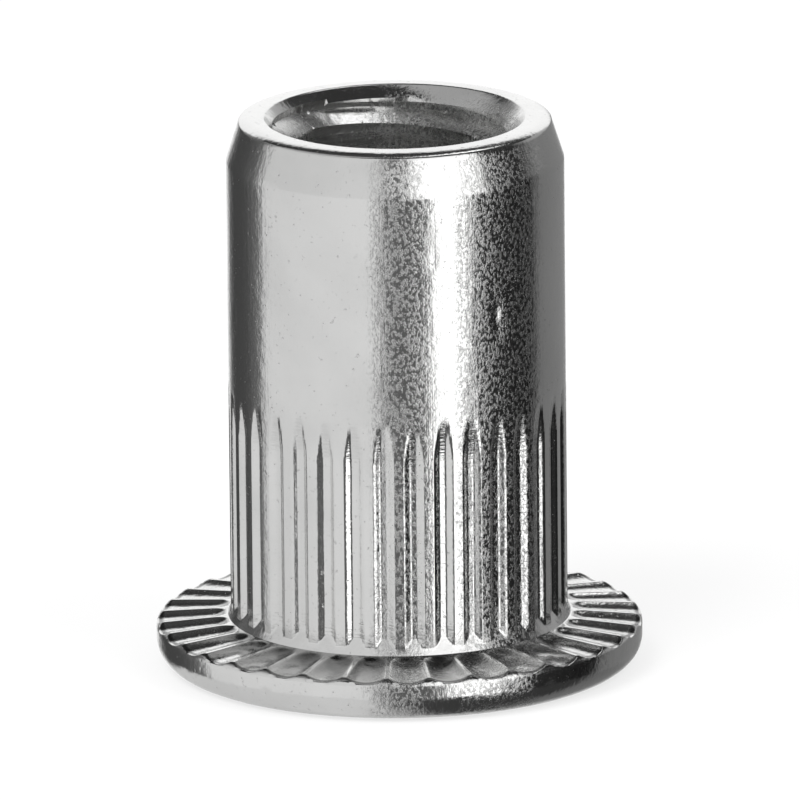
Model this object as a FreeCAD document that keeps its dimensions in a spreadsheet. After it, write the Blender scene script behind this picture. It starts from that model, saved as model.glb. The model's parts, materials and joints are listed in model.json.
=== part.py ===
import FreeCAD, Part
import math
import os

import Sketcher

# Open-end rivet nut with an M8 thread, a flat flange, a fluted shank and a
# serrated flange face that bites into the sheet. It is one cold-formed steel
# piece. The origin is the middle of the flange's outer face, on which the nut
# stands, and +Z runs along the thread axis towards the threaded end.
# Lengths are in millimetres and angles in degrees.

SIZES = [
    # Thread, round which the shank and every bore are laid out
    ("thread_diameter", 8.0),
    ("thread_pitch", 1.25),
    # Shank, and the taper that leads it into the sheet's hole
    ("total_length", 18.3),
    ("shank_wall", 1.5),
    ("lead_in_length", 1.4),
    ("lead_in_inset", 0.39),
    ("lead_in_edge_break", 0.12),
    # Flange, whose sheet-side face falls a little towards its rounded rim
    ("flange_thickness", 1.65),
    ("flange_overhang", 2.45),
    ("face_fall_angle", 4.0),
    ("rim_edge_break", 0.25),
    ("rim_land", 0.35),
    # Countersink at the thread's mouth
    ("countersink_margin", 0.25),
    ("countersink_angle", 45.0),
    # Wide relief behind the flange, where the wall folds when the nut is set
    ("relief_margin", 0.5),
    ("relief_depth", 8.8),
    ("relief_cone_angle", 59.0),
    ("relief_edge_break", 0.2),
    # Flutes along the shank
    ("flute_count", 35),
    ("flute_depth", 0.15),
    ("flute_flank_angle", 32.5),
    ("flute_root_width", 0.22),
    ("flute_straight_top", 8.3),
    ("flute_runout_length", 1.1),
    # Collar that closes the flutes above the flange
    ("collar_width", 0.1),
    ("collar_angle", 26.0),
    # Serrations on the flange's sheet-side face
    ("serration_count", 35),
    ("serration_depth", 0.16),
    ("serration_shallowing", 0.03),
    ("serration_land_angle", 1.0),
    ("serration_gap", 0.2),
    ("serration_turn", -3.45),
]

# Radii and heights that follow from the sizes. A metric thread's minor
# diameter is its nominal diameter less 1.0825 pitches.
DERIVED = [
    ("thread_radius", "(sizes.thread_diameter - 1.0825 * sizes.thread_pitch) / 2"),
    ("shank_radius", "sizes.thread_diameter / 2 + sizes.shank_wall"),
    ("tip_radius", "derived.shank_radius - sizes.lead_in_inset"),
    ("flange_radius", "derived.shank_radius + sizes.flange_overhang"),
    ("mouth_radius", "sizes.thread_diameter / 2 + sizes.countersink_margin"),
    ("mouth_depth", "(derived.mouth_radius - derived.thread_radius) / tan(sizes.countersink_angle)"),
    ("relief_radius", "sizes.thread_diameter / 2 + sizes.relief_margin"),
    ("relief_cone_height", "(derived.relief_radius - derived.thread_radius) / tan(sizes.relief_cone_angle)"),
    ("flute_root", "derived.shank_radius - sizes.flute_depth"),
    ("flute_clear", "derived.shank_radius + sizes.flute_depth"),
    ("collar_inner", "derived.flute_root - sizes.flute_depth"),
    ("collar_radius", "derived.shank_radius + sizes.collar_width"),
    ("collar_foot", "sizes.flange_thickness - sizes.collar_width * tan(sizes.face_fall_angle)"),
    ("serration_half_angle", "(360 / sizes.serration_count - sizes.serration_land_angle) / 2"),
    ("serration_inner", "derived.collar_radius + sizes.serration_gap"),
    ("serration_outer", "derived.flange_radius + 2 * sizes.serration_depth"),
    ("serration_inner_depth", "sizes.serration_depth - sizes.serration_shallowing"),
]

AXIS_ORIGIN = -1
START, END = 1, 2

doc = FreeCAD.newDocument("rivet_nut")


def make_sheet():
    """Spreadsheet with one plain number and its alias in each row."""
    sheet = doc.addObject("Spreadsheet::Sheet", "sizes")
    for row, (name, value) in enumerate(SIZES, start=1):
        sheet.set("A%d" % row, name)
        sheet.set("B%d" % row, str(value))
        sheet.setAlias("B%d" % row, name)
    doc.recompute()
    return sheet


def make_derived():
    """Variables that are worked out from the spreadsheet's cells."""
    variables = doc.addObject("App::VarSet", "derived")
    for name, expression in DERIVED:
        variables.addProperty("App::PropertyFloat", name)
        variables.setExpression(name, expression)
    doc.recompute()
    return variables


sizes = make_sheet()
derived = make_derived()


def tangent_of(angle):
    return math.tan(math.radians(angle))


def new_sketch(body, name, plane_role, turn=0.0):
    """Sketch on one of the body's own origin planes, turned about +Z."""
    sketch = body.newObject("Sketcher::SketchObject", name)
    plane = [p for p in body.Origin.OriginFeatures if p.Role == plane_role][0]
    sketch.AttachmentSupport = [(plane, "")]
    sketch.MapMode = "FlatFace"
    if turn:
        upward_in_sketch = FreeCAD.Vector(0, 1, 0)
        rotation = FreeCAD.Rotation(upward_in_sketch, turn)
        sketch.AttachmentOffset = FreeCAD.Placement(FreeCAD.Vector(), rotation)
    return sketch


def add_line(sketch, start, end):
    return sketch.addGeometry(Part.LineSegment(FreeCAD.Vector(*start, 0), FreeCAD.Vector(*end, 0)), False)


def add_arc(sketch, centre, radius, start_angle, end_angle):
    """Arc that runs anticlockwise from one angle to the other."""
    circle = Part.Circle(FreeCAD.Vector(*centre, 0), FreeCAD.Vector(0, 0, 1), radius)
    arc = Part.ArcOfCircle(circle, math.radians(start_angle), math.radians(end_angle))
    return sketch.addGeometry(arc, False)


def join(sketch, first, second):
    """Make two (geometry, point) ends meet."""
    sketch.addConstraint(Sketcher.Constraint("Coincident", *first, *second))


def join_tangent(sketch, first, second):
    sketch.addConstraint(Sketcher.Constraint("Tangent", *first, *second))


def join_in_order(sketch, edges):
    """Join the end of each edge to the start of the next."""
    for before, after in zip(edges, edges[1:]):
        join(sketch, (before, END), (after, START))


def set_direction(sketch, direction, edges):
    """Make edges Horizontal or Vertical."""
    for edge in edges:
        sketch.addConstraint(Sketcher.Constraint(direction, edge))


def bind(sketch, constraint, name, expression):
    """Add a named dimension and tie it to the sizes."""
    index = sketch.addConstraint(constraint)
    sketch.renameConstraint(index, name)
    sketch.setExpression("Constraints." + name, expression)


def place_x(sketch, geometry, point, name, expression):
    x = sketch.getPoint(geometry, point).x
    bind(sketch, Sketcher.Constraint("DistanceX", AXIS_ORIGIN, START, geometry, point, x), name, expression)


def place_y(sketch, geometry, point, name, expression):
    y = sketch.getPoint(geometry, point).y
    bind(sketch, Sketcher.Constraint("DistanceY", AXIS_ORIGIN, START, geometry, point, y), name, expression)


def span(sketch, kind, edge, name, expression):
    """Distance from an edge's start to its end along one axis."""
    first = sketch.getPoint(edge, START)
    last = sketch.getPoint(edge, END)
    distance = last.x - first.x if kind == "DistanceX" else last.y - first.y
    bind(sketch, Sketcher.Constraint(kind, edge, START, edge, END, distance), name, expression)


def set_angle(sketch, edge, angle, name, expression):
    bind(sketch, Sketcher.Constraint("Angle", edge, math.radians(angle)), name, expression)


def revolve(body, kind, name, sketch, axis_name):
    """Additive or subtractive full turn of a sketch about one of its lines."""
    feature = body.newObject(kind, name)
    feature.Profile = sketch
    feature.ReferenceAxis = (sketch, [axis_name])
    feature.Angle = 360
    return feature


def draw_flange(sketch):
    """Outer face, rounded rim and sheet-side face, from the bore outwards."""
    rim = derived.flange_radius
    edge = sizes.rim_edge_break
    drop = (sizes.flange_overhang - edge) * tangent_of(sizes.face_fall_angle)
    face_outer = (rim - edge, sizes.flange_thickness - drop)
    wall_top = face_outer[1] - edge
    round_r = wall_top - sizes.rim_land
    face_inner = (derived.shank_radius, sizes.flange_thickness)
    bore_edge = (derived.relief_radius + sizes.relief_edge_break, 0)

    outer_face = add_line(sketch, bore_edge, (rim - round_r, 0))
    rim_round = add_arc(sketch, (rim - round_r, round_r), round_r, -90, 0)
    rim_wall = add_line(sketch, (rim, round_r), (rim, wall_top))
    rim_edge = add_line(sketch, (rim, wall_top), face_outer)
    sheet_face = add_line(sketch, face_outer, face_inner)

    join_tangent(sketch, (outer_face, END), (rim_round, START))
    join_tangent(sketch, (rim_round, END), (rim_wall, START))
    join_in_order(sketch, [rim_wall, rim_edge, sheet_face])
    set_direction(sketch, "Horizontal", [outer_face])
    set_direction(sketch, "Vertical", [rim_wall])
    sketch.addConstraint(Sketcher.Constraint("PointOnObject", outer_face, START, AXIS_ORIGIN))

    place_x(sketch, rim_wall, START, "flange_r", "derived.flange_radius")
    span(sketch, "DistanceY", rim_wall, "rim_land", "sizes.rim_land")
    span(sketch, "DistanceY", rim_edge, "rim_edge_height", "sizes.rim_edge_break")
    place_x(sketch, sheet_face, START, "face_outer_r", "derived.flange_radius - sizes.rim_edge_break")
    place_y(sketch, sheet_face, END, "flange_top", "sizes.flange_thickness")
    set_angle(sketch, sheet_face, 180 - sizes.face_fall_angle, "face_fall", "180 - sizes.face_fall_angle")
    return outer_face, sheet_face


def draw_shank(sketch):
    """Shank, lead-in taper and end face, from the flange upwards."""
    shank_r = derived.shank_radius
    tip_r = derived.tip_radius
    tip_break = sizes.lead_in_edge_break
    top = sizes.total_length
    taper_foot = top - sizes.lead_in_length

    shank = add_line(sketch, (shank_r, sizes.flange_thickness), (shank_r, taper_foot))
    taper = add_line(sketch, (shank_r, taper_foot), (tip_r, top - tip_break))
    tip_edge = add_line(sketch, (tip_r, top - tip_break), (tip_r - tip_break, top))
    end_face = add_line(sketch, (tip_r - tip_break, top), (derived.mouth_radius, top))
    edges = [shank, taper, tip_edge, end_face]
    join_in_order(sketch, edges)
    set_direction(sketch, "Vertical", [shank])
    set_direction(sketch, "Horizontal", [end_face])

    place_x(sketch, shank, START, "shank_r", "derived.shank_radius")
    place_y(sketch, shank, END, "taper_foot", "sizes.total_length - sizes.lead_in_length")
    place_x(sketch, taper, END, "tip_r", "derived.tip_radius")
    place_y(sketch, taper, END, "tip_edge_z", "sizes.total_length - sizes.lead_in_edge_break")
    place_x(sketch, tip_edge, END, "tip_edge_r", "derived.tip_radius - sizes.lead_in_edge_break")
    place_y(sketch, end_face, END, "top", "sizes.total_length")
    place_x(sketch, end_face, END, "mouth_r", "derived.mouth_radius")
    return edges


def draw_bore(sketch):
    """Countersink, thread at its minor diameter and relief, downwards."""
    mouth = (derived.mouth_radius, sizes.total_length)
    thread_top = (derived.thread_radius, sizes.total_length - derived.mouth_depth)
    thread_foot = (derived.thread_radius, sizes.relief_depth + derived.relief_cone_height)
    relief_top = (derived.relief_radius, sizes.relief_depth)
    relief_foot = (derived.relief_radius, sizes.relief_edge_break)
    bore_edge = (derived.relief_radius + sizes.relief_edge_break, 0)

    countersink = add_line(sketch, mouth, thread_top)
    thread = add_line(sketch, thread_top, thread_foot)
    relief_cone = add_line(sketch, thread_foot, relief_top)
    relief = add_line(sketch, relief_top, relief_foot)
    relief_edge = add_line(sketch, relief_foot, bore_edge)
    edges = [countersink, thread, relief_cone, relief, relief_edge]
    join_in_order(sketch, edges)
    set_direction(sketch, "Vertical", [thread, relief])

    place_x(sketch, thread, START, "thread_r", "derived.thread_radius")
    place_y(sketch, thread, START, "thread_top", "sizes.total_length - derived.mouth_depth")
    place_y(sketch, thread, END, "thread_foot", "sizes.relief_depth + derived.relief_cone_height")
    place_x(sketch, relief, START, "relief_r", "derived.relief_radius")
    place_y(sketch, relief, START, "relief_z", "sizes.relief_depth")
    place_x(sketch, relief_edge, END, "relief_edge_r", "derived.relief_radius + sizes.relief_edge_break")
    place_y(sketch, relief_edge, START, "relief_edge_z", "sizes.relief_edge_break")
    return edges


def add_blank(body):
    """Turned body. Its sketch's upright axis is the thread axis."""
    sketch = new_sketch(body, "blank_profile", "XZ_Plane")
    outer_face, sheet_face = draw_flange(sketch)
    shank_edges = draw_shank(sketch)
    bore_edges = draw_bore(sketch)
    join_in_order(sketch, [sheet_face, shank_edges[0]])
    join_in_order(sketch, [shank_edges[-1], bore_edges[0]])
    join_in_order(sketch, [bore_edges[-1], outer_face])
    revolve(body, "PartDesign::Revolution", "blank", sketch, "V_Axis")
    return sketch


def add_flute_path(body):
    """Straight run up the shank, then a ramp that climbs out of the surface
    and goes on as far again."""
    root = derived.flute_root
    top = sizes.flute_straight_top
    ramp_top = top + 2 * sizes.flute_runout_length

    sketch = new_sketch(body, "flute_path", "XZ_Plane")
    run = add_line(sketch, (root, sizes.flange_thickness), (root, top))
    ramp = add_line(sketch, (root, top), (derived.flute_clear, ramp_top))
    join_in_order(sketch, [run, ramp])
    set_direction(sketch, "Vertical", [run])
    place_x(sketch, run, START, "root_r", "derived.flute_root")
    place_y(sketch, run, START, "low_z", "sizes.flange_thickness")
    place_y(sketch, run, END, "straight_top", "sizes.flute_straight_top")
    place_x(sketch, ramp, END, "clear_r", "derived.flute_clear")
    place_y(sketch, ramp, END, "ramp_top", "sizes.flute_straight_top + 2 * sizes.flute_runout_length")
    return sketch


def add_flute_profile(body):
    """Groove with sloping flanks and a narrow flat root, open outwards."""
    root = derived.flute_root
    outside = derived.flute_clear
    root_half = sizes.flute_root_width / 2
    mouth_half = root_half + (outside - root) / tangent_of(sizes.flute_flank_angle)

    sketch = new_sketch(body, "flute_profile", "XY_Plane")
    sketch.setExpression(".AttachmentOffset.Base.z", "sizes.flange_thickness")
    lid = add_line(sketch, (outside, -mouth_half), (outside, mouth_half))
    left = add_line(sketch, (outside, mouth_half), (root, root_half))
    floor = add_line(sketch, (root, root_half), (root, -root_half))
    right = add_line(sketch, (root, -root_half), (outside, -mouth_half))
    join_in_order(sketch, [lid, left, floor, right, lid])
    for edge in (lid, floor):
        sketch.addConstraint(Sketcher.Constraint("Symmetric", edge, START, edge, END, AXIS_ORIGIN))
    place_x(sketch, lid, START, "outside", "derived.flute_clear")
    place_x(sketch, floor, START, "root_r", "derived.flute_root")
    span(sketch, "DistanceY", floor, "root_width", "-sizes.flute_root_width")
    set_angle(sketch, right, sizes.flute_flank_angle - 90, "flank", "sizes.flute_flank_angle - 90")
    return sketch


def pattern_round(body, name, feature, axis_sketch, count_name):
    """Copy a cut evenly round the thread axis."""
    pattern = body.newObject("PartDesign::PolarPattern", name)
    pattern.Originals = [feature]
    pattern.Axis = (axis_sketch, ["V_Axis"])
    pattern.Angle = 360
    pattern.setExpression("Occurrences", "sizes." + count_name)
    body.Tip = pattern


def add_flutes(body, axis_sketch):
    path = add_flute_path(body)
    profile = add_flute_profile(body)
    doc.recompute()
    flute = body.newObject("PartDesign::SubtractivePipe", "flute")
    flute.Profile = profile
    flute.Spine = (path, ["Edge1", "Edge2"])
    flute.Transition = "Right corner"
    pattern_round(body, "flutes", flute, axis_sketch, "flute_count")


def add_collar(body):
    """Short cone round the foot of the shank, which closes the flutes. It is
    sunk to half the flange's thickness."""
    outer_r = derived.collar_radius
    inner_r = derived.collar_inner
    foot = derived.collar_foot
    base = sizes.flange_thickness / 2
    peak = foot + (outer_r - inner_r) / tangent_of(sizes.collar_angle)

    sketch = new_sketch(body, "collar_profile", "XZ_Plane")
    buried = add_line(sketch, (inner_r, base), (outer_r, base))
    outer = add_line(sketch, (outer_r, base), (outer_r, foot))
    cone = add_line(sketch, (outer_r, foot), (inner_r, peak))
    inner = add_line(sketch, (inner_r, peak), (inner_r, base))
    join_in_order(sketch, [buried, outer, cone, inner, buried])
    set_direction(sketch, "Horizontal", [buried])
    set_direction(sketch, "Vertical", [outer, inner])
    place_x(sketch, inner, START, "inner_r", "derived.collar_inner")
    place_x(sketch, outer, START, "outer_r", "derived.collar_radius")
    place_y(sketch, buried, START, "base_z", "sizes.flange_thickness / 2")
    place_y(sketch, outer, END, "foot_z", "derived.collar_foot")
    set_angle(sketch, cone, 90 + sizes.collar_angle, "cone", "90 + sizes.collar_angle")
    revolve(body, "PartDesign::Revolution", "collar", sketch, "V_Axis")


def trough_floor(radius_name, depth_name):
    """Height of a trough's floor at a radius, below the falling face."""
    fall = "(%s - derived.shank_radius) * tan(sizes.face_fall_angle)" % radius_name
    return "sizes.flange_thickness - %s - %s" % (depth_name, fall)


def trough_centre(radius_name, depth_name):
    """Height of the centre of the arc that spans a trough at a radius."""
    half_width = "(%s * tan(derived.serration_half_angle))" % radius_name
    radius = "(%s ^ 2 + %s ^ 2) / (2 * %s)" % (half_width, depth_name, depth_name)
    return trough_floor(radius_name, depth_name) + " + " + radius


def add_serrations(body, axis_sketch):
    """Troughs, each cut by the lower half of a cone that lies along the
    flange's face and widens outwards as the pitch between the troughs does."""
    inner_r = derived.serration_inner
    outer_r = derived.serration_outer
    floor_z = sizes.flange_thickness - sizes.serration_depth
    axis_z = sizes.flange_thickness + sizes.flange_overhang

    sketch = new_sketch(body, "serration_profile", "XZ_Plane", sizes.serration_turn)
    axis = add_line(sketch, (inner_r, axis_z), (outer_r, axis_z))
    outer = add_line(sketch, (outer_r, axis_z), (outer_r, floor_z))
    floor = add_line(sketch, (outer_r, floor_z), (inner_r, floor_z))
    inner = add_line(sketch, (inner_r, floor_z), (inner_r, axis_z))
    join_in_order(sketch, [axis, outer, floor, inner, axis])
    set_direction(sketch, "Vertical", [outer, inner])
    ends = [
        ("inner", START, END, "derived.serration_inner", "derived.serration_inner_depth"),
        ("outer", END, START, "derived.serration_outer", "sizes.serration_depth"),
    ]
    for name, axis_end, floor_end, radius_name, depth_name in ends:
        place_x(sketch, axis, axis_end, name + "_r", radius_name)
        place_y(sketch, axis, axis_end, name + "_centre_z", trough_centre(radius_name, depth_name))
        place_y(sketch, floor, floor_end, name + "_floor_z", trough_floor(radius_name, depth_name))

    serration = revolve(body, "PartDesign::Groove", "serration", sketch, "Edge1")
    serration.Midplane = True
    serration.Angle = 180
    pattern_round(body, "serrations", serration, axis_sketch, "serration_count")


def make_rivet_nut():
    body = doc.addObject("PartDesign::Body", "rivet_nut")
    body.Label = "rivet_nut"
    axis_sketch = add_blank(body)
    doc.recompute()
    add_flutes(body, axis_sketch)
    doc.recompute()
    add_collar(body)
    doc.recompute()
    add_serrations(body, axis_sketch)
    doc.recompute()
    return body


def check_states():
    """Stop if any object of the document failed."""
    for item in doc.Objects:
        bad = [state for state in item.State if state in ("Invalid", "Error")]
        if bad:
            raise RuntimeError("%s: %s" % (item.Name, ", ".join(bad)))


def check_cuts(body):
    """Stop if a flute or serration left as much metal as there was before."""
    solids = [item for item in body.Group if item.TypeId.startswith("PartDesign::")]
    for before, after in zip(solids, solids[1:]):
        cuts = after.Name != "collar"
        if cuts and after.Shape.Volume >= before.Shape.Volume - Part.Precision.confusion():
            raise RuntimeError(after.Name + " cut nothing")


def check_shape(body):
    """Stop unless the finished shape is one valid solid."""
    if body.Shape.isNull() or not body.Shape.isValid() or len(body.Shape.Solids) != 1:
        raise RuntimeError(body.Label + " is not one valid solid")


rivet_nut = make_rivet_nut()
check_states()
check_cuts(rivet_nut)
check_shape(rivet_nut)
os.makedirs("parts", exist_ok=True)
rivet_nut.Shape.exportStep("parts/%s.step" % rivet_nut.Label)
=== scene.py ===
import json
import math

import bmesh
import bpy
import numpy as np
from mathutils import Matrix, Vector, noise


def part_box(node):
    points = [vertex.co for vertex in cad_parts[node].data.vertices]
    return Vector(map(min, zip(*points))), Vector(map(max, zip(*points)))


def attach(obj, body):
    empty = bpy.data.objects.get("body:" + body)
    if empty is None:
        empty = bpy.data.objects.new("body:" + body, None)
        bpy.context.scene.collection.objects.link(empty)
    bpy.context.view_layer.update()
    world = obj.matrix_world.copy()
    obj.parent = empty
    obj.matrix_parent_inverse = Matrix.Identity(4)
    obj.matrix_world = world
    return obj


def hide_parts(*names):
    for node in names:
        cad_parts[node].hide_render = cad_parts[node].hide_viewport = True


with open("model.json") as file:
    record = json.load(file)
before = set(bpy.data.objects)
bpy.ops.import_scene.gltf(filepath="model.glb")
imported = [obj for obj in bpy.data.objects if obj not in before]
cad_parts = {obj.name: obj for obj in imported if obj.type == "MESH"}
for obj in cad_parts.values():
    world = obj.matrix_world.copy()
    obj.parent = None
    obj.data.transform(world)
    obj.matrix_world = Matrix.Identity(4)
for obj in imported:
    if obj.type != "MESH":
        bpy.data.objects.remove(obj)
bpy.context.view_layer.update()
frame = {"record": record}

# Dressed model of an M8 rivet nut. Its shapes are worked out in millimetres
# and its meshes are in metres. Angles are in degrees and are taken about +Z,
# from +X. The front of the nut is at -Y.
MM = 0.001

# Form of the nut, as in the solid
NODE_LOW, NODE_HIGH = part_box("rivet_nut")
TOTAL_LENGTH = (NODE_HIGH[2] - NODE_LOW[2]) / MM
FLANGE_R = (NODE_HIGH[0] - NODE_LOW[0]) / MM / 2
MOUNTS = {mount["name"]: mount for mount in frame["record"]["mounts"]}
SHANK_R = MOUNTS["shank"]["dims"]["r_mm"]
THREAD_MINOR_R = MOUNTS["thread"]["dims"]["r_mm"]
RELIEF_R = MOUNTS["relief_bore"]["dims"]["r_mm"]
FLANGE_TOP = 1.65
FACE_FALL = math.tan(math.radians(4.0))
RIM_TOP_ROUND = 0.27
RIM_LAND = 0.34
MOUTH_R = 4.25
RELIEF_TOP = 8.8
RELIEF_CONE = math.tan(math.radians(59.0))
RELIEF_EDGE = 0.2

# Lead-in. Its taper begins with a slight wave round the shank, and its outer
# edge at the end face is rounded, by TIP_BREAK in height and by TIP_ROUND
# across the face.
LEAD_IN_LENGTH = 1.4
TIP_R = 5.11
TIP_BREAK = 0.17
TIP_ROUND = 0.50
TAPER_WAVE = 0.05
TAPER_EASE = 0.002

# Thread, right-hand. THREAD_START is the share of a pitch by which its helix
# is raised.
PITCH = 1.25
THREAD_MAJOR_R = 4.0
THREAD_START = 0.254
THREAD_ROWS = 74
THREAD_ROUGHNESS = 0.012

# One pitch of the thread, in shares of the pitch: crest at the minor radius,
# flanks at 30 degrees and a narrow root at the major radius
THREAD_KEYS = np.array([0.0, 0.25, 0.5625, 0.6875, 1.0])
THREAD_RADII = np.array([
    THREAD_MINOR_R, THREAD_MINOR_R, THREAD_MAJOR_R, THREAD_MAJOR_R, THREAD_MINOR_R,
])

# Flutes. They run out over FLUTE_RUNOUT above FLUTE_TOP, and each one's upper
# end is off by up to twice FLUTE_END_SPREAD.
FLUTE_COUNT = 35
FLUTE_PITCH = 360 / FLUTE_COUNT
FLUTE_DEPTH = 0.15
FLUTE_FLANK = math.tan(math.radians(32.5))
FLUTE_ROOT_HALF = 0.11
FLUTE_TOP = 8.1
FLUTE_RUNOUT = 1.3
FLUTE_RUNOUT_CURVE = 1.1
FLUTE_END_SPREAD = 0.05
FLUTE_ROUGHNESS = 0.006
FLUTE_LEVELS = (2.4, 3.0, 3.8, 4.7, 5.6, 6.5, 7.3, 7.8, 8.0, FLUTE_TOP)

# Collar at the foot of the flutes
COLLAR_R = 5.6
COLLAR_SLOPE = math.tan(math.radians(26.0))
COLLAR_FOOT = 1.643

# Serrations. Each begins at SERRATION_HEAD with a ramp down to its floor. The
# depths are those at SERRATION_START and at SERRATION_OUTER.
SERRATION_TURN = -3.45
SERRATION_HEAD = 5.62
SERRATION_RAMP = 0.48
SERRATION_START = 5.8
SERRATION_START_DEPTH = 0.13
SERRATION_RIM_DEPTH = 0.16
SERRATION_OUTER = FLANGE_R + 2 * SERRATION_RIM_DEPTH
SERRATION_CREST = 1.0
SERRATION_HALF = math.tan(math.radians((FLUTE_PITCH - SERRATION_CREST) / 2))
FACE_RADII = (
    7.58, 7.42, 7.15, 6.85, 6.55, 6.3, 6.15, 6.03, 5.92, 5.82, 5.73, SERRATION_HEAD,
)

# Marks that the mesh carries for its metal: above 0 in the flutes and on the
# edges of the thread's crests, below 0 where shade is painted into the metal's
# colour, which is at the feet of the serrations and in a line along the rim. A
# depth is the one at which a mark is full. The painted shade at the feet
# reaches SHADE_REACH outwards, and SHADE_REACH_FRONT more at the very front.
MARK = "mark"
CREST_EDGE_MARK = 0.9
RIM_PAINTED_SHADE_MARK = -0.8
FLUTE_MARK_DEPTH = 0.03
SHADE_DEPTH = 0.05
SHADE_REACH = 0.45
SHADE_REACH_FRONT = 1.75

# Wear of the rim, and the height at which its upper edge is worn
RIM_WAVINESS = 0.006
RIM_PITTING = 0.004
RIM_EDGE_LEVEL = 1.2

# Columns of vertices across one pitch, from the middle of one land to the
# next: closer together at the edges of a flute, or of a serration's crest
FLUTE_COLUMNS = [
    -5.1429, -4.4, -3.75, -3.6, -3.4, -2.6, -1.8, -1.18, -0.6,
    0, 0.6, 1.18, 1.8, 2.6, 3.4, 3.6, 3.75, 4.4,
]
SERRATION_COLUMNS = [
    -5.1429, -4.9, -4.643, -4.4, -3.8, -3.0, -2.2, -1.45, -0.7,
    0, 0.7, 1.45, 2.2, 3.0, 3.8, 4.4, 4.643, 4.9,
]
COLUMNS = FLUTE_COUNT * len(FLUTE_COLUMNS)

# Edges that turn by more than this stay crisp
HARD_EDGE = math.radians(38)

# Small dents in the shank and nicks in the rim, each with its angle round the
# nut, height, half-sizes round and up the nut, and depth
SHANK_DENTS = [
    (-51.4, 12.75, 0.17, 0.46, 0.060),
    (-50.2, 12.25, 0.24, 0.22, 0.040),
    (-62.0, 10.30, 0.30, 0.22, 0.010),
    (-111.0, 11.10, 0.55, 0.12, 0.006),
    (-99.0, 10.80, 0.50, 0.16, 0.006),
    (-124.0, 14.20, 0.20, 0.30, 0.008),
    (-75.0, 14.90, 0.25, 0.30, 0.010),
    (20.0, 13.10, 0.30, 0.45, 0.012),
    (95.0, 11.60, 0.35, 0.30, 0.012),
    (160.0, 14.60, 0.30, 0.50, 0.010),
    (-160.0, 12.00, 0.25, 0.40, 0.010),
]
RIM_NICKS = [
    (-103.0, 0.55, 0.28, 0.10, 0.05),
    (-99.0, 0.35, 0.22, 0.12, 0.04),
    (-121.0, 0.75, 0.20, 0.20, 0.03),
    (-73.0, 0.60, 0.35, 0.10, 0.03),
    (-50.0, 0.80, 0.25, 0.15, 0.03),
    (15.0, 0.70, 0.30, 0.15, 0.04),
    (80.0, 0.60, 0.25, 0.20, 0.04),
    (150.0, 0.65, 0.35, 0.12, 0.04),
    (-150.0, 0.50, 0.25, 0.15, 0.04),
]
DENT_STEEPNESS = 1.4

# Camera: where it stands about the nut, and how large the nut is in its view
CAMERA_TURN = 2.41
CAMERA_RISE = 15.033
CAMERA_ROLL = -0.545
CAMERA_DISTANCE = 800.0
AIM_HEIGHT = 9.0
AIM_PIXEL = (397.30, 392.58)
PIXELS_PER_MM = 30.694
IMAGE_SIZE = 800
SENSOR = 36.0
CLIP_END = 100

# Lamps: name, place, size and power
LAMPS = [
    ("key_lamp", (-0.25, -0.30, 0.50), 0.30, 2.0),
    ("fill_lamp", (0.35, -0.20, 0.35), 0.30, 0.8),
]

# Floor: half its side in metres, its tone, and the share of plain white that
# the camera sees in it
FLOOR_HALF = 2.0
FLOOR_TONE = 0.9
FLOOR_WHITE = 0.7

# Studio round the nut, as its metal sees it: tone of the light against the
# angle round the nut, from the camera towards the right of the picture, for
# light from the table, from about level, from part of the way up, from higher
# and from overhead
LOW_TONES = [
    (-180, 0.60), (-10, 0.74), (-4, 0.10), (20, 0.05), (104, 0.04), (112, 0.15), (156, 0.20),
    (168, 0.50), (180, 0.60),
]
LEVEL_TONES = [
    (-180, 1.10), (-168, 1.00), (-158, 0.20), (-149, 0.06), (-126, 0.07), (-108, 0.15),
    (-102, 0.76), (-13, 0.83), (-8, 0.13), (21, 0.11), (26, 1.80), (48, 1.70), (54, 0.03),
    (106, 0.005), (112, 0.19), (156, 0.24), (168, 0.30), (175, 1.00), (180, 1.10),
]
RISING_TONES = [
    (-180, 1.12), (-156, 1.05), (-148, 0.30), (-128, 0.12), (-110, 0.10), (-102, 0.70),
    (-13, 0.76), (-5, 0.14), (8, 0.14), (13, 1.5), (60, 1.5), (66, 0.03), (100, 0.02),
    (112, 0.30), (150, 0.45), (160, 1.05), (180, 1.12),
]
HIGH_TONES = [
    (-180, 0.03), (-136, 0.03), (-124, 0.42), (-13, 0.80), (-5, 0.25), (6, 0.3), (12, 1.2),
    (60, 1.2), (68, 0.05), (180, 0.03),
]
TOP_TONES = [
    (-180, 0.05), (-140, 0.06), (-126, 0.42), (-52, 0.42), (-46, 0.03), (133, 0.03),
    (138, 1.9), (154, 1.9), (159, 0.05), (180, 0.05),
]
BRIGHTEST = 2.0

# Elevations over which one set of tones gives way to the next, and straight
# below, where the table is light at the left and dark at the right
TABLE_FADE = (-66, -56)
TONE_FADES = (
    (-27, -22, LEVEL_TONES), (3, 8, RISING_TONES), (28, 34, HIGH_TONES), (47, 53, TOP_TONES),
)
TABLE_LIGHT, TABLE_DARK = 0.70, 0.05

# Plain light that falls on what isn't metal
ROOM_TONE = 0.8


def column_angles(offsets, turn):
    """Angles of every column round the nut."""
    starts = np.arange(FLUTE_COUNT) * FLUTE_PITCH + turn
    return (starts[:, None] + np.array(offsets)[None, :]).ravel()


def from_centre(angles, turn):
    """Angle from the middle of the nearest flute or serration."""
    return (angles - turn + FLUTE_PITCH / 2) % FLUTE_PITCH - FLUTE_PITCH / 2


def wander(angles, height, scale, seed):
    """Smooth random values between about -1 and 1, even round the seam."""
    radians = np.radians(angles)
    level = height * scale / SHANK_R + seed
    points = zip(np.cos(radians) * scale, np.sin(radians) * scale)
    return np.array([noise.noise(Vector((x, y, level))) for x, y in points])


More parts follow.
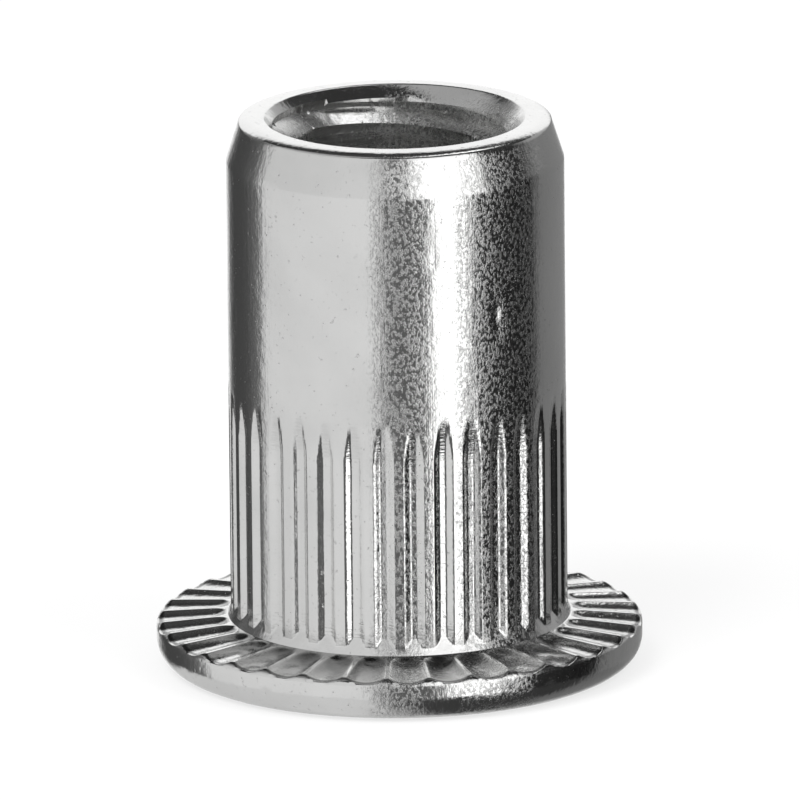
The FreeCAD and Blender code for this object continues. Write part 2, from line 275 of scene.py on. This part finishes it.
class Rings:
    """A closed surface made of rings of vertices, each joined to the next."""

    def __init__(self):
        self.points = []
        self.marks = []
        self.rings = []
        self.faces = []

    def add(self, angles, radii, heights, mark=0.0):
        """Add a ring and join it to the one before."""
        radians = np.radians(angles)
        radii = np.broadcast_to(radii, angles.shape)
        heights = np.broadcast_to(heights, angles.shape)
        start = sum(len(points) for points in self.points)
        self.points.append(np.stack([radii * np.cos(radians), radii * np.sin(radians), heights], axis=1))
        self.marks.append(np.broadcast_to(mark, angles.shape))
        self.rings.append((start, len(angles)))
        if len(self.rings) > 1:
            self.bridge(self.rings[-2], self.rings[-1])

    def close(self):
        """Join the last ring to the first."""
        self.bridge(self.rings[-1], self.rings[0])

    def bridge(self, lower, upper):
        """Join two rings that have as many columns, or one of which has half."""
        (lower_start, lower_count), (upper_start, upper_count) = lower, upper
        if lower_count == upper_count:
            self.faces += even_band(lower_start, upper_start, lower_count)
        elif lower_count > upper_count:
            self.faces += halving_band(lower_start, upper_start, upper_count)
        else:
            band = halving_band(upper_start, lower_start, lower_count)
            self.faces += [triangle[::-1] for triangle in band]

    def build(self, name):
        """Mesh object in metres, with hard edges kept crisp."""
        mesh = bpy.data.meshes.new(name)
        points = np.concatenate(self.points) * MM
        mesh.from_pydata(points.tolist(), [], self.faces)
        marks = mesh.attributes.new(MARK, "FLOAT", "POINT")
        marks.data.foreach_set("value", np.concatenate(self.marks).astype(np.float32))
        shape = bmesh.new()
        shape.from_mesh(mesh)
        bmesh.ops.recalc_face_normals(shape, faces=shape.faces)
        for face in shape.faces:
            face.smooth = True
        for edge in shape.edges:
            edge.smooth = edge.calc_face_angle(0) < HARD_EDGE
        shape.to_mesh(mesh)
        shape.free()
        piece = bpy.data.objects.new(name, mesh)
        bpy.context.collection.objects.link(piece)
        return piece


def even_band(lower, upper, columns):
    """Triangles between two rings that have as many columns."""
    triangles = []
    for i in range(columns):
        j = (i + 1) % columns
        triangles.append((lower + i, lower + j, upper + j))
        triangles.append((lower + i, upper + j, upper + i))
    return triangles


def halving_band(fine, coarse, columns):
    """Triangles between a ring and one that has half its columns."""
    triangles = []
    for i in range(columns):
        j = (i + 1) % columns
        left = fine + 2 * i
        middle = left + 1
        right = fine + (2 * i + 2) % (2 * columns)
        triangles.append((left, middle, coarse + i))
        triangles.append((middle, coarse + j, coarse + i))
        triangles.append((middle, right, coarse + j))
    return triangles


def dent_depth(angles, height, radius, dents):
    """How far the dents press each column in at a height."""
    depth = np.zeros(len(angles))
    for centre, level, half_width, half_height, deepest in dents:
        turn = (angles - centre + 180) % 360 - 180
        across = turn * math.radians(1) * radius / half_width
        along = (height - level) / half_height
        depth += deepest * np.exp(-(across ** 2 + along ** 2) * DENT_STEEPNESS)
    return depth


def rim_wear(angles, radius, height, share):
    """Radius of the rim with its nicks and slight waviness, always inwards."""
    waviness = RIM_WAVINESS * (1 + wander(angles, height, scale=9.0, seed=1.0))
    pitting = RIM_PITTING * (1 + wander(angles, height * 3, scale=60.0, seed=2.0))
    nicks = dent_depth(angles, height, FLANGE_R, RIM_NICKS)
    return radius - share * (waviness + pitting + nicks)


def flute_radius(angles, height):
    """Radius of the fluted shank, and the mark of each column in a flute."""
    offset = from_centre(angles, 0.0)
    number = np.round((angles - offset) / FLUTE_PITCH) % FLUTE_COUNT
    uneven = (np.sin(number * 2.4) + np.sin(number * 5.1 + 1.0)) * FLUTE_END_SPREAD
    climb = np.maximum((height - FLUTE_TOP + uneven) / FLUTE_RUNOUT, 0)
    root = SHANK_R - FLUTE_DEPTH * (1 - climb ** FLUTE_RUNOUT_CURVE)
    lean = np.abs(np.radians(offset))
    floor = root / np.cos(lean)
    flank = (root - FLUTE_ROOT_HALF * FLUTE_FLANK) / (np.cos(lean) - FLUTE_FLANK * np.sin(lean))
    radius = np.minimum(np.maximum(floor, flank), SHANK_R)
    return radius, np.clip((SHANK_R - radius) / FLUTE_MARK_DEPTH, 0, 1)


def face_height(radius):
    """Height of the flange's upper face, which falls towards the rim."""
    return FLANGE_TOP - (radius - SHANK_R) * FACE_FALL


def trough_curve(distance, depth):
    """Radius of the round floor that cuts a trough this deep, this far out."""
    return ((distance * SERRATION_HALF) ** 2 + depth ** 2) / (2 * depth)


def trough_height(angles, radius):
    """Height of the serrations' troughs: each is cut by a cone along it, and
    ends in a ramp by the shank."""
    lean = np.radians(from_centre(angles, SERRATION_TURN))
    along = radius * np.cos(lean)
    across = radius * np.sin(lean)
    share = (along - SERRATION_START) / (SERRATION_OUTER - SERRATION_START)
    depth = SERRATION_START_DEPTH + share * (SERRATION_RIM_DEPTH - SERRATION_START_DEPTH)
    start_curve = trough_curve(SERRATION_START, SERRATION_START_DEPTH)
    outer_curve = trough_curve(SERRATION_OUTER, SERRATION_RIM_DEPTH)
    curve = start_curve + share * (outer_curve - start_curve)
    floor = face_height(along) - depth
    trough = floor + curve - np.sqrt(curve ** 2 - across ** 2)
    climb = np.clip(1 - (radius - SERRATION_HEAD) / SERRATION_RAMP, 0, 1)
    return trough + depth * climb ** 2


def add_shank(rings, angles):
    """Collar, flutes and smooth shank, from the flange upwards."""
    shank_foot = COLLAR_FOOT + (COLLAR_R - SHANK_R) / COLLAR_SLOPE
    root_foot = shank_foot + FLUTE_DEPTH / COLLAR_SLOPE
    runout_top = FLUTE_TOP + FLUTE_RUNOUT
    smooth_top = TOTAL_LENGTH - LEAD_IN_LENGTH
    heights = [
        COLLAR_FOOT, COLLAR_FOOT + 0.02, 1.75, shank_foot - 0.01, shank_foot + 0.01,
        *np.linspace(shank_foot + 0.05, root_foot - 0.01, 5), root_foot + 0.02,
        *FLUTE_LEVELS,
        *np.linspace(FLUTE_TOP + 0.15, runout_top + 0.12, 9),
        *np.linspace(runout_top + 0.3, smooth_top - 0.06, 28),
    ]
    for height in heights:
        radius, groove = flute_radius(angles, height)
        rough = wander(angles, height, scale=14.0, seed=3.0) * FLUTE_ROUGHNESS * groove
        dents = dent_depth(angles, height, SHANK_R, SHANK_DENTS)
        collar = COLLAR_R - (height - COLLAR_FOOT) * COLLAR_SLOPE
        radius = np.maximum(radius + rough - dents, collar)
        rings.add(angles, radius, height, groove * (radius > collar))


def add_tip(rings, angles):
    """Lead-in taper, its rounded edge and the end face."""
    foot = TOTAL_LENGTH - LEAD_IN_LENGTH
    top = TOTAL_LENGTH - TIP_BREAK
    slope = (SHANK_R - TIP_R) / (top - foot)
    wave = wander(angles, 17.0, scale=1.3, seed=8.0) * TAPER_WAVE
    rings.add(angles, SHANK_R - 2 * TAPER_EASE, foot - 0.02 + wave)
    for share in (0.035, 0.2, 0.4, 0.6, 0.8, 0.97):
        height = foot + share * (top - foot)
        radius = SHANK_R - slope * (height - foot) - TAPER_EASE
        rings.add(angles, radius, height + wave * (1 - share))
    for turn in (12, 22, 34, 48, 62, 76, 90):
        lean = math.radians(turn)
        radius = TIP_R - TIP_ROUND * (1 - math.cos(lean))
        rings.add(angles, radius, TOTAL_LENGTH - TIP_BREAK * (1 - math.sin(lean)))
    for radius in ((TIP_R - TIP_ROUND + MOUTH_R) / 2, MOUTH_R + 0.08):
        rings.add(angles, radius, TOTAL_LENGTH)


def thread_phase(angles, height):
    """How far along one pitch of the helix each column is, from 0 to 1."""
    return (height / PITCH - angles / 360 - THREAD_START) % 1.0


def drawn_to_edges(angles, level, step):
    """Heights of a row of the thread, where columns near an edge of the helix
    are drawn on to it, and which of them lie on an edge of the crest."""
    phase = thread_phase(angles, level)
    nearest = THREAD_KEYS[np.abs(phase[:, None] - THREAD_KEYS[None, :]).argmin(axis=1)]
    shift = (nearest - phase) * PITCH
    drawn = np.abs(shift) <= step / 2
    crest = (nearest <= THREAD_KEYS[1]) | (nearest == THREAD_KEYS[-1])
    return level + np.where(drawn, shift, 0.0), drawn & crest


def add_bore(rings, angles):
    """Countersink, thread and relief, downwards."""
    relief_start = RELIEF_TOP + (RELIEF_R - THREAD_MINOR_R) / RELIEF_CONE
    countersink_foot = TOTAL_LENGTH - (MOUTH_R - THREAD_MINOR_R)
    major_top = TOTAL_LENGTH - (MOUTH_R - THREAD_MAJOR_R)
    major_foot = RELIEF_TOP + (RELIEF_R - THREAD_MAJOR_R) / RELIEF_CONE
    step = (major_top - major_foot) / THREAD_ROWS
    rings.add(angles, MOUTH_R + 0.02, TOTAL_LENGTH)
    rings.add(angles, MOUTH_R - 0.02, TOTAL_LENGTH - 0.025)
    for row in range(THREAD_ROWS, -1, -1):
        level = major_foot + row * step
        heights, crest_edges = level, 0.0
        if 0 < row < THREAD_ROWS:
            heights, crest_edges = drawn_to_edges(angles, level, step)
        thread = np.interp(thread_phase(angles, heights), THREAD_KEYS, THREAD_RADII)
        rough = wander(angles, level, scale=22.0, seed=5.0) * THREAD_ROUGHNESS
        thread = thread + rough * (thread < THREAD_MAJOR_R)
        countersink = THREAD_MINOR_R + np.maximum(heights - countersink_foot, 0)
        relief = THREAD_MINOR_R + np.maximum(relief_start - heights, 0) * RELIEF_CONE
        radius = np.maximum(thread, np.maximum(countersink, relief))
        rings.add(angles, radius, heights, crest_edges * CREST_EDGE_MARK)
    for radius, height in (
        (RELIEF_R - 0.03, RELIEF_TOP + 0.02), (RELIEF_R, RELIEF_TOP - 0.03), (RELIEF_R, 6.0),
        (RELIEF_R, 3.0), (RELIEF_R, RELIEF_EDGE + 0.02), (RELIEF_R + RELIEF_EDGE, 0.01),
    ):
        rings.add(angles, radius, height)


def add_rim(rings, angles):
    """Outer face and rounded rim, from the bore outwards."""
    corner = FLANGE_R - RIM_TOP_ROUND
    corner_height = face_height(corner) - RIM_TOP_ROUND
    bottom_round = corner_height - RIM_LAND
    for radius in (RELIEF_R + RELIEF_EDGE + 0.03, 5.4, 6.3, FLANGE_R - bottom_round - 0.02):
        rings.add(angles, radius, 0.0)
    for turn in (12, 24, 36, 48, 60, 72, 84):
        lean = math.radians(turn)
        height = bottom_round * (1 - math.cos(lean))
        radius = FLANGE_R - bottom_round * (1 - math.sin(lean))
        rings.add(angles, rim_wear(angles, radius, height, math.sin(lean)), height)
    for height in np.linspace(bottom_round, corner_height, 4):
        rings.add(angles, rim_wear(angles, FLANGE_R, height, 1.0), height)
    # The rings at 54 and 72 degrees carry a line of painted shade along the rim.
    for turn, mark in ((18, 0.0), (36, 0.0), (54, RIM_PAINTED_SHADE_MARK), (72, RIM_PAINTED_SHADE_MARK), (90, 0.0)):
        lean = math.radians(turn)
        edge = corner + RIM_TOP_ROUND * math.cos(lean)
        radius = rim_wear(angles, edge, RIM_EDGE_LEVEL, math.cos(lean))
        height = corner_height + RIM_TOP_ROUND * math.sin(lean)
        rings.add(angles, radius, np.minimum(height, trough_height(angles, radius)), mark)


def add_serrations(rings, angles):
    """Serrated upper face, from the rim inwards, with painted shade at its feet."""
    # Painted shade darkens the troughs' feet, and reaches further out towards the front.
    front = np.clip(-np.sin(np.radians(angles)), 0, 1) ** 2
    reach = SHADE_REACH + SHADE_REACH_FRONT * front
    for radius in FACE_RADII:
        height = face_height(radius)
        trough = trough_height(angles, radius)
        foot = np.clip(1 - (radius - SERRATION_HEAD) / reach, 0, 1)
        shade = np.clip((height - trough) / SHADE_DEPTH, 0, 1) * foot
        rings.add(angles, radius, np.minimum(height, trough), -shade)


def make_nut():
    """The whole nut as one closed mesh."""
    flute_angles = column_angles(FLUTE_COLUMNS, 0.0)
    serration_angles = column_angles(SERRATION_COLUMNS, SERRATION_TURN)
    bore_angles = (np.arange(COLUMNS // 2) * 720 / COLUMNS) + FLUTE_COLUMNS[0]
    rings = Rings()
    add_shank(rings, flute_angles)
    add_tip(rings, flute_angles)
    add_bore(rings, bore_angles)
    add_rim(rings, serration_angles)
    add_serrations(rings, serration_angles)
    rings.close()
    return rings.build("nut_body")


class Nodes:
    """Short ways to add and join the nodes of one material or world."""

    def __init__(self, tree):
        self.tree = tree
        self.tree.nodes.clear()

    def add(self, kind, **values):
        node = self.tree.nodes.new(kind)
        for name, value in values.items():
            setattr(node, name, value)
        return node

    def link(self, source, target):
        self.tree.links.new(source, target)

    def fill(self, sockets, values):
        """Give each socket its value, or a link where that is a socket."""
        for socket, value in zip(sockets, values):
            if isinstance(value, bpy.types.NodeSocket):
                self.link(value, socket)
            else:
                socket.default_value = value

    def math(self, operation, first, second=0.0):
        node = self.add("ShaderNodeMath", operation=operation)
        self.fill(node.inputs, (first, second))
        return node.outputs[0]

    def plus(self, first, second):
        return self.math("ADD", first, second)

    def times(self, first, second):
        return self.math("MULTIPLY", first, second)

    def weighted(self, total, layers):
        """A total with each layer added at its weight."""
        for layer, weight in layers:
            total = self.plus(total, self.times(layer, weight))
        return total

    def mix(self, factor, first, second):
        """Blend of two numbers, each of them plain or a socket."""
        node = self.add("ShaderNodeMix", data_type="FLOAT")
        self.fill((node.inputs[0], node.inputs[2], node.inputs[3]), (factor, first, second))
        return node.outputs[0]

    def map_range(self, value, low, high, to_low=0.0, to_high=1.0, smooth=False):
        """A value taken from one range to another, and held at its ends."""
        interpolation = "SMOOTHSTEP" if smooth else "LINEAR"
        node = self.add("ShaderNodeMapRange", interpolation_type=interpolation)
        names = ("Value", "From Min", "From Max", "To Min", "To Max")
        self.fill([node.inputs[name] for name in names], (value, low, high, to_low, to_high))
        return node.outputs["Result"]

    def split(self, vector):
        """The three parts of a vector."""
        node = self.add("ShaderNodeSeparateXYZ")
        self.link(vector, node.inputs[0])
        return node.outputs

    def noise(self, vector, size, detail=2.0, roughness=0.5):
        """Noise whose features are about the given size in millimetres."""
        node = self.add("ShaderNodeTexNoise")
        names = ("Vector", "Scale", "Detail", "Roughness")
        self.fill([node.inputs[name] for name in names], (vector, 1 / (size * MM), detail, roughness))
        return node.outputs["Fac"]

    def stretched(self, vector, scales):
        node = self.add("ShaderNodeVectorMath", operation="MULTIPLY")
        self.fill(node.inputs, (vector, scales))
        return node.outputs[0]


def scuffed_share(nodes, x, z):
    """How much the nut is scuffed: little at its left, in full on the middle
    and the right, less on one band between them, at the far right and on the
    end face."""
    from_band = nodes.math("ABSOLUTE", nodes.math("SUBTRACT", x, 1.6 * MM))
    scuffed = nodes.map_range(x, -0.85 * MM, -0.3 * MM, 0.12, 1.0, smooth=True)
    masks = (
        nodes.map_range(from_band, 0.35 * MM, 0.75 * MM, 0.35, 1.0, smooth=True),
        nodes.map_range(x, 4.3 * MM, 4.9 * MM, 1.0, 0.15, smooth=True),
        nodes.map_range(z, 18.0 * MM, 18.15 * MM, 1.0, 0.1),
        nodes.map_range(x, 2.7 * MM, 3.3 * MM, 1.0, 1.25),
    )
    for mask in masks:
        scuffed = nodes.times(scuffed, mask)
    return scuffed


def inside_share(nodes, x, y, z):
    """1 in the bore below its mouth, and 0 outside it."""
    squared = nodes.plus(nodes.times(x, x), nodes.times(y, y))
    near_axis = nodes.map_range(nodes.math("SQRT", squared), 4.1 * MM, 4.25 * MM, 1.0, 0.0)
    below_mouth = nodes.map_range(z, 17.82 * MM, 17.92 * MM, 1.0, 0.0)
    return nodes.times(near_axis, below_mouth)


def make_metal():
    """Bright zinc plating: a faint orange peel, scuffs, small pits and fine
    scratches, with shade painted into its colour at the marks below 0."""
    material = bpy.data.materials.new("zinc_plated_steel")
    material.use_nodes = True
    nodes = Nodes(material.node_tree)
    place = nodes.add("ShaderNodeTexCoord").outputs["Object"]
    mark = nodes.add("ShaderNodeAttribute", attribute_name=MARK).outputs["Fac"]
    groove = nodes.math("MAXIMUM", mark, 0.0)
    # Share of painted shade, from the marks below 0.
    painted_shade = nodes.math("MAXIMUM", nodes.times(mark, -1.0), 0.0)
    x, y, z = nodes.split(place)
    inside = inside_share(nodes, x, y, z)
    scuffed = scuffed_share(nodes, x, z)

    peel = nodes.noise(place, 0.34, 3.0, 0.6)
    grain = nodes.noise(nodes.stretched(place, (1.3, 1.3, 0.9)), 0.12, 4.0, 0.65)
    patches = nodes.map_range(nodes.noise(place, 2.4, 3.0), 0.40, 0.66)
    pits = nodes.map_range(nodes.noise(place, 0.16, 2.0, 0.55), 0.66, 0.74)
    across = nodes.noise(nodes.stretched(place, (0.25, 0.25, 9.0)), 1.2, 3.0, 0.65)
    chatter = nodes.noise(nodes.stretched(place, (0.4, 0.4, 6.0)), 0.5, 2.0)
    lengthwise = nodes.noise(nodes.stretched(place, (7.0, 7.0, 0.35)), 1.1, 3.0, 0.65)
    scuffs = nodes.times(nodes.map_range(grain, 0.46, 0.66, smooth=True), scuffed)
    striations = nodes.times(chatter, groove)

    bump = nodes.add("ShaderNodeBump")
    bump.inputs["Strength"].default_value = 1.0
    bump.inputs["Distance"].default_value = 0.011 * MM
    layers = ((scuffs, 0.30), (across, 0.14), (lengthwise, 0.45), (pits, -0.22), (striations, 0.8))
    nodes.link(nodes.weighted(peel, layers), bump.inputs["Height"])

    rough = nodes.plus(nodes.map_range(grain, 0.3, 0.7, -0.03, 0.03), 0.13)
    layers = ((patches, 0.04), (scuffs, 0.12), (pits, 0.15), (inside, 0.10))
    rough = nodes.weighted(rough, layers)

    shade = nodes.mix(patches, 0.78, 0.73)
    shade = nodes.mix(nodes.times(pits, 0.45), shade, 0.42)
    # Painted shade: the colour falls to 0.10 where the marks are below 0.
    shade = nodes.mix(painted_shade, shade, 0.10)
    colour = nodes.add("ShaderNodeCombineColor")
    nodes.fill(colour.inputs, (shade, shade, nodes.times(shade, 0.992)))

    shader = nodes.add("ShaderNodeBsdfPrincipled")
    shader.inputs["Metallic"].default_value = 1.0
    nodes.link(colour.outputs["Color"], shader.inputs["Base Color"])
    nodes.link(rough, shader.inputs["Roughness"])
    nodes.link(bump.outputs["Normal"], shader.inputs["Normal"])
    output = nodes.add("ShaderNodeOutputMaterial")
    nodes.link(shader.outputs["BSDF"], output.inputs["Surface"])
    return material


def tone_ramp(nodes, azimuth, tones):
    """Tone against the angle round the nut."""
    node = nodes.add("ShaderNodeValToRGB")
    nodes.link(azimuth, node.inputs["Fac"])
    stops = node.color_ramp.elements
    while len(stops) < len(tones):
        stops.new(0.5)
    for stop, (angle, tone) in zip(stops, tones):
        stop.position = min(max((angle + 180 + CAMERA_TURN) / 360, 0), 1)
        level = tone / BRIGHTEST
        stop.color = (level, level, level, 1)
    return nodes.times(node.outputs["Color"], BRIGHTEST)


def sine(angle):
    return math.sin(math.radians(angle))


def studio_tone(nodes, direction):
    """Tone of the cards of light and shade round the nut."""
    x, y, z = nodes.split(direction)
    azimuth = nodes.math("ARCTAN2", x, nodes.times(y, -1.0))
    azimuth = nodes.map_range(azimuth, -math.pi, math.pi)
    below = nodes.map_range(x, -0.15, 0.15, TABLE_LIGHT, TABLE_DARK, smooth=True)
    share = nodes.map_range(z, sine(TABLE_FADE[0]), sine(TABLE_FADE[1]))
    tone = nodes.mix(share, below, tone_ramp(nodes, azimuth, LOW_TONES))
    for start, end, tones in TONE_FADES:
        share = nodes.map_range(z, sine(start), sine(end), smooth=True)
        tone = nodes.mix(share, tone, tone_ramp(nodes, azimuth, tones))
    return tone


def make_world():
    """White to the camera, plain grey light on the floor, and the studio for
    the nut's metal to reflect."""
    world = bpy.data.worlds.new("studio")
    bpy.context.scene.world = world
    world.use_nodes = True
    nodes = Nodes(world.node_tree)
    direction = nodes.add("ShaderNodeTexCoord").outputs["Generated"]
    rays = nodes.add("ShaderNodeLightPath")
    shown = nodes.mix(rays.outputs["Is Glossy Ray"], ROOM_TONE, studio_tone(nodes, direction))
    shown = nodes.mix(rays.outputs["Is Camera Ray"], shown, 1.0)
    background = nodes.add("ShaderNodeBackground")
    nodes.link(shown, background.inputs["Color"])
    output = nodes.add("ShaderNodeOutputWorld")
    nodes.link(background.outputs["Background"], output.inputs["Surface"])


def make_paper():
    """Pale paper that is lighter to the camera than to the rest."""
    material = bpy.data.materials.new("floor_paper")
    material.use_nodes = True
    nodes = Nodes(material.node_tree)
    paper = nodes.add("ShaderNodeBsdfDiffuse")
    paper.inputs["Color"].default_value = (FLOOR_TONE, FLOOR_TONE, FLOOR_TONE, 1)
    glow = nodes.add("ShaderNodeEmission")
    glow.inputs["Color"].default_value = (1, 1, 1, 1)
    rays = nodes.add("ShaderNodeLightPath")
    blend = nodes.add("ShaderNodeMixShader")
    white = nodes.times(rays.outputs["Is Camera Ray"], FLOOR_WHITE)
    nodes.fill(blend.inputs, (white, paper.outputs["BSDF"], glow.outputs["Emission"]))
    output = nodes.add("ShaderNodeOutputMaterial")
    nodes.link(blend.outputs["Shader"], output.inputs["Surface"])
    return material


def make_floor():
    """Pale floor that keeps the nut's soft shadow."""
    mesh = bpy.data.meshes.new("floor")
    size = FLOOR_HALF
    corners = [(-size, -size, 0), (size, -size, 0), (size, size, 0), (-size, size, 0)]
    mesh.from_pydata(corners, [], [(0, 1, 2, 3)])
    mesh.materials.append(make_paper())
    floor = bpy.data.objects.new("floor", mesh)
    bpy.context.collection.objects.link(floor)
    floor.visible_glossy = False


def add_lamp(name, place, size, power):
    """Soft square lamp that faces the nut."""
    light = bpy.data.lights.new(name, "AREA")
    light.shape = "SQUARE"
    light.size = size
    light.energy = power
    lamp = bpy.data.objects.new(name, light)
    bpy.context.collection.objects.link(lamp)
    lamp.location = place
    aim = Vector((0, 0, AIM_HEIGHT * MM)) - lamp.location
    lamp.rotation_euler = aim.to_track_quat("-Z", "Y").to_euler()
    lamp.visible_glossy = False


def make_camera():
    """Long lens from the front, slightly above, as the picture was taken."""
    turn = math.radians(CAMERA_TURN)
    rise = math.radians(CAMERA_RISE)
    roll = math.radians(-CAMERA_ROLL)
    level_towards = Vector((math.sin(turn), -math.cos(turn), 0))
    towards = level_towards * math.cos(rise) + Vector((0, 0, math.sin(rise)))
    level_right = Vector((math.cos(turn), math.sin(turn), 0))
    level_up = towards.cross(level_right)
    up = level_up * math.cos(roll) + level_right * math.sin(roll)
    right = up.cross(towards)
    middle = IMAGE_SIZE / 2
    aside = (middle - AIM_PIXEL[0]) / PIXELS_PER_MM
    upwards = (AIM_PIXEL[1] - middle) / PIXELS_PER_MM
    aim = Vector((0, 0, AIM_HEIGHT)) + right * aside + up * upwards
    place = (aim + towards * CAMERA_DISTANCE) * MM

    data = bpy.data.cameras.new("camera")
    data.sensor_width = SENSOR
    data.lens = PIXELS_PER_MM * CAMERA_DISTANCE * SENSOR / IMAGE_SIZE
    data.clip_end = CLIP_END
    camera = bpy.data.objects.new("camera", data)
    bpy.context.collection.objects.link(camera)
    axes = Matrix((right, up, towards)).transposed().to_4x4()
    camera.matrix_world = Matrix.Translation(place) @ axes
    bpy.context.scene.camera = camera


nut = make_nut()
nut.data.materials.append(make_metal())
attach(nut, "root")
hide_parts("rivet_nut")

make_floor()
make_world()
for lamp in LAMPS:
    add_lamp(*lamp)
make_camera()
bpy.context.scene.view_settings.view_transform = "Standard"
